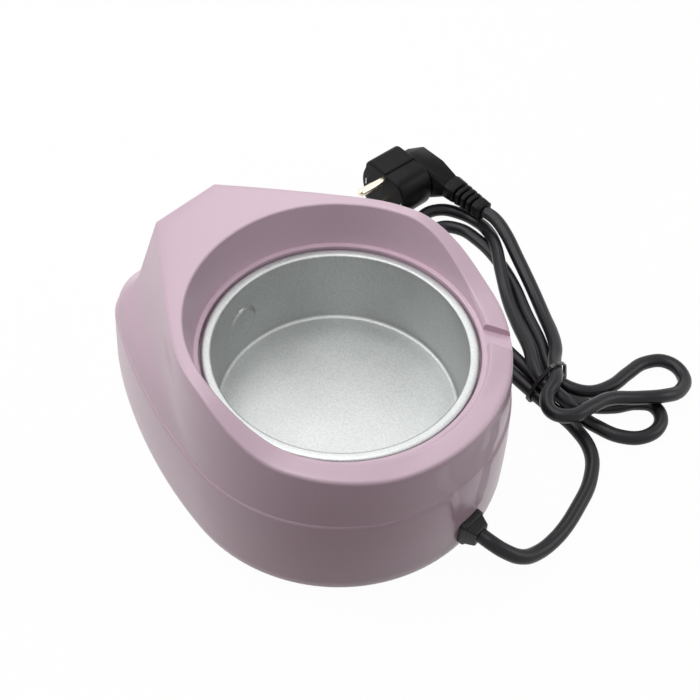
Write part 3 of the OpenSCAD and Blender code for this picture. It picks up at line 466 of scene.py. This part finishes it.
# ---- Lower shell -------------------------------------------------------------
# The matching pink body below the seam, a little wider than the upper shell, tucked
# under at the foot and set back at the seam where the upper shell's tongue fits.
LOWER_LEVELS = [
    (2.5, 81.5, 50, 119.6, 26, 11.5),
    (4.5, 83.4, 51.9, 121.4, 26, 11.5),
    (9.5, 84.2, 53, 122, 27, 11.5),
    (23.5, 84.2, 53, 122, 27, 11.5),
    (37, 83.9, 52, 122, 27, 11.5),
    (52, 83.1, 50.4, 122, 26.4, 11.5),
    (SEAM_Z, 82.9, 50, 121.8, 26, 11.5),
]
FOOT_Z = LOWER_LEVELS[0][0]
lower_rings = [shell_ring(LOWER_LEVELS, FOOT_Z, inset) for inset in (2.4, 0.6)]
lower_rings += [shell_ring(LOWER_LEVELS, z) for z in (2.9, 3.4, 4, 4.8, 5.8, 7, 8.4, 10)]
lower_rings += [shell_ring(LOWER_LEVELS, z) for z in np.linspace(12, 52.8, 22)]
lower_rings += [shell_ring(LOWER_LEVELS, z, inset) for z, inset in (
    (53.4, 0.06), (53.9, 0.18), (54.35, 0.38), (54.7, 0.62), (SEAM_Z, 0.92), (SEAM_Z, WALL))]
lower_rings += [shell_ring(LOWER_LEVELS, z, WALL) for z in (40, 20, 6)]
lower_shell = build_up("lower_shell", lower_rings, closed=True)
sink_recess(lower_shell, [
    (27, 84.2, 9.5, 0), (31, 84.1, 10, 1), (41, 83.75, 12, 1), (52, 83.1, 14.5, 1),
    (56, 82.9, 15, 1)])
smooth(lower_shell, 28)
lower_shell.data.materials.append(shell_pink)
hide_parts("lower_housing")
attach(lower_shell, "housing")

# ---- Bowl --------------------------------------------------------------------
# Spun aluminium heating bowl with a broad rolled rim and, at the front of its wall, the
# round thickened seat that the thermostat's bulb bears on.
BOWL_R, BOWL_WALL, FLOOR_Z = 60, 1.2, 35.3
SEAT_TURN, SEAT_Z, SEAT_R, SEAT_EDGE = math.radians(277), 56, 10.3, 1.9
SEAT_INWARD, SEAT_OUTWARD = 1.2, 1.1
turns = np.radians(np.append(np.arange(265.75, 288.25, 0.5), np.arange(288.25, 625.75, 2.25)))


def turned_ring(r, z):
    """One ring of the bowl; its wall bulges both ways at the thermostat's seat."""
    x, y = r * np.cos(turns), r * np.sin(turns)
    if BOWL_R - 0.1 < r < BOWL_R + BOWL_WALL + 0.1:
        deep = r * np.cos(turns - SEAT_TURN)
        from_middle = np.hypot(r * np.sin(turns - SEAT_TURN), z - SEAT_Z)
        t = np.clip((SEAT_R - from_middle) / SEAT_EDGE, 0, 1)
        bulge = -SEAT_INWARD if r < BOWL_R + BOWL_WALL / 2 else r + SEAT_OUTWARD - deep
        push = np.where(deep > 0, t * t * (3 - 2 * t) * bulge, 0)
        x, y = x + push * math.cos(SEAT_TURN), y + push * math.sin(SEAT_TURN)
    return np.column_stack([x, y, np.full(len(turns), z)])


def bend(r, z, radius, first, last, n):
    """Points of a profile's rounded corner: its centre, radius and angles."""
    return [(r + radius * math.cos(a), z + radius * math.sin(a))
            for a in np.radians(np.linspace(first, last, n))]


bowl_profile = (
    [(r, FLOOR_Z) for r in (6, 20, 34, 46, 54)]
    + bend(BOWL_R - 2, FLOOR_Z + 2, 2, -90, 0, 7)
    + [(BOWL_R, z) for z in [41, *np.linspace(45, 67, 23), 70, 75]]
    + bend(BOWL_R + 1, 78.9, 1, 180, 90, 6) + [(61.6, 80), (62.8, 80)]
    + bend(63.3, 78.3, 1.7, 85, -90, 11) + [(61.4, 76.6)]
    + [(BOWL_R + BOWL_WALL, z) for z in [75, 70, *np.linspace(67, 45, 23), 41, 38]]
    + bend(BOWL_R - 2, FLOOR_Z + 2, 2 + BOWL_WALL, 0, -90, 6) + [(6, FLOOR_Z - BOWL_WALL)]
)
bowl = build_up("heating_bowl", [turned_ring(r, z) for r, z in bowl_profile])
smooth(bowl, 35)
bowl_aluminium = finish_material("bowl_aluminium", (0.465, 0.48, 0.475), 0.49, shade=0.55,
                                 spread=0.10, patch=40, grain=1000, bump=0.5, depth=0.00014,
                                 metallic=1.0)
bowl.data.materials.append(bowl_aluminium)
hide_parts("heating_chamber")
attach(bowl, "housing")

# ---- Cord gland --------------------------------------------------------------
# Black moulded PVC block at the back: a square flange against the shell and a nose that
# tapers to the lead, all its edges rounded off.
gland_pvc = finish_material("gland_pvc", (0.010, 0.010, 0.011), 0.36, shade=0.4, spread=0.12,
                            patch=90, grain=1200, bump=0.2, depth=0.0001,
                            Specular_IOR_Level=0.25)
dress(["lead_inside"], gland_pvc)
GLAND_Z = LEAD_POINTS[0][2]


def block_ring(y, half_w, half_h, r):
    """One square ring of the gland with rounded corners, at a distance behind the bowl."""
    return [(x * (half_w - r) + r * math.cos(a), y, GLAND_Z + z * (half_h - r) + r * math.sin(a))
            for x, z, first in ((1, 1, 0), (-1, 1, 90), (-1, -1, 180), (1, -1, 270))
            for a in np.radians(np.linspace(first, first + 90, 7))]


gland = build_up("gland_block", [np.array(block_ring(*ring)) for ring in (
    (84.0, 7.25, 7.5, 2.2), (84.4, 7.25, 7.5, 2.2), (86.5, 7.15, 7.4, 2.1),
    (87.1, 6.95, 7.2, 2.1), (87.4, 6.5, 6.75, 2), (87.5, 6.0, 6.25, 1.4), (87.8, 5.95, 6.2, 1),
    (91.3, 4.75, 5.0, 0.8), (91.9, 4.55, 4.8, 0.8), (92.25, 4.2, 4.45, 0.8),
    (92.3, 3.9, 4.1, 0.8))])
smooth(gland, 40)
gland.data.materials.append(gland_pvc)
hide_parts("cord_gland")
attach(gland, "housing")

# ---- Plug --------------------------------------------------------------------
# Angled mains plug of black moulded PVC, lying on its side: a round head with a flat
# slab on one half, a back cover that falls away to the eight-sided neck, and two pins.
# The plug's own X is the way its pins point and its own Y the way the lead leaves it.
PLUG_TURN, PLUG_PLACE = math.radians(-6), [-149.8, -101.8, 15.9]


def from_plug(points):
    """Points of the plug, in its own millimetres, put about the bowl's axis."""
    points = np.asarray(points, float)
    cos, sin = math.cos(PLUG_TURN), math.sin(PLUG_TURN)
    x = points[..., 0] * cos - points[..., 1] * sin
    y = points[..., 0] * sin + points[..., 1] * cos
    return np.stack([x, y, points[..., 2]], axis=-1) + PLUG_PLACE


def along_pins(outline, stations):
    """Rings of an outline at places along the pins, each drawn in by its inset."""
    return [from_plug([(x, y, z) for y, z in outline(inset)]) for x, inset in stations]


HEAD_R, HEAD_FLAT, FLATNESS = 18.5, 14.3, 14


def drum_outline(inset):
    """Round head with its two sides flattened."""
    points = []
    for a in np.radians(np.arange(0, 360, 3)):
        r = (HEAD_R**-FLATNESS + (abs(math.sin(a)) / HEAD_FLAT) ** FLATNESS) ** (-1 / FLATNESS)
        points.append(((r - inset) * math.cos(a), (r - inset) * math.sin(a)))
    return points


def slab_outline(inset):
    """Flat half of the head: two wide corners outside and two tight ones by the step."""
    points = []
    for y, z, r, first in ((0.6, 14.6, 0.9, 0), (-11, 10.5, 5, 90), (-11, -10.5, 5, 180),
                           (0.6, -14.6, 0.9, 270)):
        for a in np.radians(np.linspace(first, first + 90, 9)):
            points.append((y + max(r - inset, 0.1) * math.cos(a),
                           z + max(r - inset, 0.1) * math.sin(a)))
    return points


# Places along the head, back to front, and how far its rounded edges are drawn in there.
ROUNDED = [(-24, 1.0), (-23.7, 0.45), (-23.2, 0.12), (-22.6, 0), (-12, 0), (-1.8, 0),
           (-1.1, 0.15), (-0.5, 0.5), (-0.15, 0.95), (0, 1.6)]
plug = build_up("plug_head", along_pins(drum_outline, ROUNDED))
slab = build_up("plug_slab", along_pins(slab_outline, [(x, 0.5 * i) for x, i in ROUNDED]))


def soften(piece, width, segments, angle):
    """Rounds the edges that turn by more than the angle in degrees."""
    edges = piece.modifiers.new("edges", "BEVEL")
    edges.width = width
    edges.segments = segments
    edges.limit_method = "ANGLE"
    edges.angle_limit = math.radians(angle)
    bpy.context.view_layer.objects.active = piece
    bpy.ops.object.modifier_apply(modifier=edges.name)


def hulled(name, points, width):
    """The tight skin round some points, with its edges rounded."""
    bpy.ops.mesh.primitive_circle_add(vertices=len(points), radius=1)
    piece = bpy.context.object
    piece.name = name
    piece.matrix_world = Matrix.Identity(4)
    for vertex, place in zip(piece.data.vertices, metres(from_plug(points))):
        vertex.co = place
    bpy.ops.object.mode_set(mode="EDIT")
    bpy.ops.mesh.select_all(action="SELECT")
    bpy.ops.mesh.delete(type="EDGE_FACE")
    bpy.ops.mesh.select_all(action="SELECT")
    bpy.ops.mesh.convex_hull()
    bpy.ops.mesh.select_all(action="SELECT")
    bpy.ops.mesh.dissolve_limited(angle_limit=math.radians(3))
    bpy.ops.object.mode_set(mode="OBJECT")
    soften(piece, width, segments=3, angle=12)
    return piece


NECK_X, NECK_Y, NECK_Z = -34, 24, 2  # where the neck starts, in the plug's own millimetres
# The cover spans the back of the head, the flat end behind it and the neck's foot.
cover_points = [(x, r * math.cos(a), r * math.sin(a)) for x, r in ((-23.4, 15), (-28, 14.6))
                for a in np.radians(np.arange(0, 360, 15))]
cover_points += [(x, y, z) for x in (-30, -25) for y in (-10, 10) for z in (-11.5, 11.5)]
cover_points += [(x, y, z) for x in (-38.4, -36.5) for y in (-5, 11) for z in (-10, 12)]
cover_points += [(NECK_X + x, NECK_Y + 0.05, NECK_Z + z) for x, z in (
    (7, 3), (7, -3), (4, 6.2), (4, -6.2), (-4, 6.2), (-4, -6.2), (-4.4, 3), (-4.4, -3))]
combine(plug, slab, "UNION")
combine(plug, hulled("plug_cover", cover_points, 0.0009), "UNION")
smooth(plug, 32)
plug_pvc = finish_material("plug_pvc", (0.009, 0.009, 0.0095), 0.36, shade=0.5, spread=0.15,
                           patch=90, grain=1200, bump=0.25, depth=0.0001,
                           Specular_IOR_Level=0.10)
plug.data.materials.append(plug_pvc)
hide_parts("plug_body")
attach(plug, "housing")


NECK_LENGTH, SLOT_WIDTH, CORE_R = 29, 1.5, 3.6
NECK_FOOT, NECK_TIP = (7, 6.25), (5, 5)  # half the width and height at both ends of the neck
CORNER_SHARE = 0.62  # how far along each side its cut corner starts


def neck_ring(y, core):
    """One eight-sided ring of the neck, or of the core left inside its slots."""
    t = y / NECK_LENGTH
    w, h = (CORE_R if core else a + (b - a) * t for a, b in zip(NECK_FOOT, NECK_TIP))
    c = CORNER_SHARE * min(w, h)
    return from_plug([(NECK_X + x, NECK_Y + y, NECK_Z + z) for x, z in (
        (w, c), (c, h), (-c, h), (-w, c), (-w, -c), (-c, -h), (c, -h), (w, -c))])


neck_rings = [neck_ring(0.05, False)]
for start in (8, 12.3, 16.6, 20.9):
    neck_rings += [neck_ring(start + y, core) for y, core in (
        (0, False), (0.1, True), (SLOT_WIDTH - 0.1, True), (SLOT_WIDTH, False))]
neck_rings.append(neck_ring(NECK_LENGTH - 0.05, False))
neck = build_up("plug_neck_grip", neck_rings)
soften(neck, 0.00035, segments=2, angle=30)
smooth(neck, 40)
neck.data.materials.append(plug_pvc)
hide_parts("plug_neck")
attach(neck, "housing")
tie_plastic = finish_material("tie_plastic", (0.015, 0.015, 0.016), 0.3, shade=0.3, spread=0.1)
dress(["cord_tie"], tie_plastic)
pin_brass = finish_material("pin_brass", (0.86, 0.79, 0.60), 0.25, shade=0.15, spread=0.12,
                            patch=300, grain=2500, bump=0.1, metallic=1.0)
dress(["plug_pins"], pin_brass)
clip_steel = finish_material("clip_steel", (0.66, 0.65, 0.62), 0.3, shade=0.15, spread=0.12,
                             patch=300, grain=2500, bump=0.1, metallic=1.0)
dress(["plug_earth_clips"], clip_steel)

# ---- Knob, dial and lamps ----------------------------------------------------
# Black fluted ABS knob with a white pointer, pushed on the thermostat's shaft over a silver
# dial, and the two pilot lamps' coloured lenses in the panel above it.
knob_abs = finish_material("knob_black", (0.016, 0.016, 0.017), 0.35, shade=0.3, spread=0.08,
                           patch=80, grain=1400, bump=0.12)
dress(["control_knob"], knob_abs)
pointer_white = finish_material("pointer_white", (0.80, 0.80, 0.78), 0.45)
dress(["knob_pointer"], pointer_white)
dial_foil = finish_material("dial_silver", (0.62, 0.62, 0.63), 0.33, shade=0.12, spread=0.1,
                            patch=120, grain=2600, bump=0.15, metallic=1.0)
dress(["dial_plate"], dial_foil)
for node, name, colour in (("power_lens", "lens_green", (0.03, 0.42, 0.10)),
                           ("heating_lens", "lens_orange", (0.75, 0.20, 0.02))):
    dress([node], finish_material(name, colour, 0.12, shade=0.2, Transmission_Weight=0.35))

# ---- Base --------------------------------------------------------------------
# Black moulded ABS base plate with vents, screwed up into the lower shell's posts, and four
# soft rubber feet pressed into it.
base_abs = finish_material("base_black", (0.030, 0.030, 0.031), 0.5, shade=0.3, spread=0.1,
                           patch=30, grain=1100, bump=0.4, depth=0.0002)
dress(["base_plate"], base_abs)
foot_rubber = finish_material("foot_rubber", (0.022, 0.022, 0.022), 0.75, shade=0.35, spread=0.1,
                              patch=90, grain=1500, bump=0.4, depth=0.0002)
dress(["rubber_feet"], foot_rubber)

# ---- Inside the housing ------------------------------------------------------
# Heater band, shield, thermostat, wiring and fixings, which the shells close in: plated
# steel, mica, brass, copper and white nylon parts, and the three wires in their own colours.
plated = finish_material("plated_steel", (0.56, 0.57, 0.58), 0.3, shade=0.15, spread=0.1,
                         patch=200, grain=2200, bump=0.1, metallic=1.0)
dress(["chamber_brackets", "bracket_screws", "heater_clamp_screw", "heat_shield",
       "shield_screws", "sensor_clip", "base_screws", "cord_clamp_screws", "thermostat_nut"],
      plated)
mica = finish_material("heater_mica", (0.48, 0.40, 0.27), 0.5, shade=0.4, spread=0.15,
                       patch=150, grain=700, bump=0.3)
dress(["heater_band"], mica)
bakelite = finish_material("stat_plastic", (0.12, 0.10, 0.085), 0.4, shade=0.2)
dress(["thermostat_body"], bakelite)
brass = finish_material("brass", (0.75, 0.58, 0.28), 0.3, shade=0.15, metallic=1.0)
dress(["thermostat_shaft", "earth_screw"], brass)
copper = finish_material("copper", (0.72, 0.38, 0.24), 0.3, shade=0.15, metallic=1.0)
dress(["sensor_bulb", "capillary_tube"], copper)
nylon = finish_material("nylon_white", (0.72, 0.72, 0.69), 0.45, shade=0.06)
dress(["thermal_fuse", "lamp_holders", "terminal_block", "cord_clamp"], nylon)
for node, name, colour in (("live_wire", "wire_brown", (0.16, 0.07, 0.03)),
                           ("neutral_wire", "wire_blue", (0.03, 0.10, 0.38)),
                           ("earth_wire", "wire_green", (0.10, 0.30, 0.05))):
    dress([node], finish_material(name, colour, 0.4))

# ---- Floor and light ---------------------------------------------------------
# A pale matt floor that a camera or a reflection sees as white, soft light from overhead and
# from three sides, and a narrow lamp from behind that opens up the inside of the collar.
def seen_directly(nodes, links):
    """The light path node, and an output that is 1 for the camera and for reflections."""
    path = nodes.new("ShaderNodeLightPath")
    return path, maths(nodes, links, "MAXIMUM", path.outputs["Is Camera Ray"],
                       path.outputs["Is Glossy Ray"])


bpy.ops.mesh.primitive_plane_add(size=6)
floor = bpy.context.object
floor.name = "floor"
floor_material = bpy.data.materials.new("floor_white")
floor_material.use_nodes = True
nodes, links = floor_material.node_tree.nodes, floor_material.node_tree.links
matt = nodes["Principled BSDF"]
matt.inputs["Base Color"].default_value = (0.34, 0.27, 0.275, 1)
matt.inputs["Roughness"].default_value = 0.9
glow = nodes.new("ShaderNodeEmission")
glow.inputs["Strength"].default_value = 1.08
_, direct = seen_directly(nodes, links)
GLOW_SHARE = 0.9  # the rest is the matt floor, which keeps the pot's shadow
blend = nodes.new("ShaderNodeMixShader")
links.new(maths(nodes, links, "MULTIPLY", direct, GLOW_SHARE), blend.inputs["Fac"])
links.new(matt.outputs[0], blend.inputs[1])
links.new(glow.outputs[0], blend.inputs[2])
links.new(blend.outputs[0], nodes["Material Output"].inputs["Surface"])
floor.data.materials.append(floor_material)

world = bpy.data.worlds.new("studio")
world.use_nodes = True
bpy.context.scene.world = world
nodes, links = world.node_tree.nodes, world.node_tree.links
sky = nodes["Background"]
sky.inputs["Color"].default_value = (1, 1, 1, 1)
path, direct = seen_directly(nodes, links)
through = maths(nodes, links, "MAXIMUM", direct, path.outputs["Is Transmission Ray"])
strength = nodes.new("ShaderNodeMapRange")
strength.inputs["To Min"].default_value = 0.02
strength.inputs["To Max"].default_value = 1.0
links.new(through, strength.inputs["Value"])
links.new(strength.outputs["Result"], sky.inputs["Strength"])


def hang(lamp, place, aim):
    """Puts a lamp in the scene at its place and turns it to its aim."""
    holder = bpy.data.objects.new(lamp.name, lamp)
    bpy.context.scene.collection.objects.link(holder)
    holder.location = place
    holder.rotation_euler = (Vector(aim) - holder.location).to_track_quat("-Z", "Y").to_euler()


def softbox(name, place, size, power):
    """A square lamp that faces the pot."""
    lamp = bpy.data.lights.new(name, "AREA")
    lamp.shape = "SQUARE"
    lamp.size = size
    lamp.energy = power
    hang(lamp, place, (0, 0.02, 0.05))


softbox("top_light", (0.05, -0.22, 1.28), 0.9, 7.6)
softbox("front_light", (0.6, -0.9, 0.9), 0.7, 6.0)
softbox("left_light", (-0.6, -0.5, 0.95), 0.5, 1.6)
softbox("back_light", (-0.8, 0.88, 0.7), 0.7, 3.4)

collar_light = bpy.data.lights.new("collar_light", "SPOT")
collar_light.energy = 9.5
collar_light.spot_size = math.radians(9.5)
collar_light.spot_blend = 1
collar_light.shadow_soft_size = 0.08
hang(collar_light, (0.50, 0.43, 0.55), (-0.055, -0.02, 0.094))
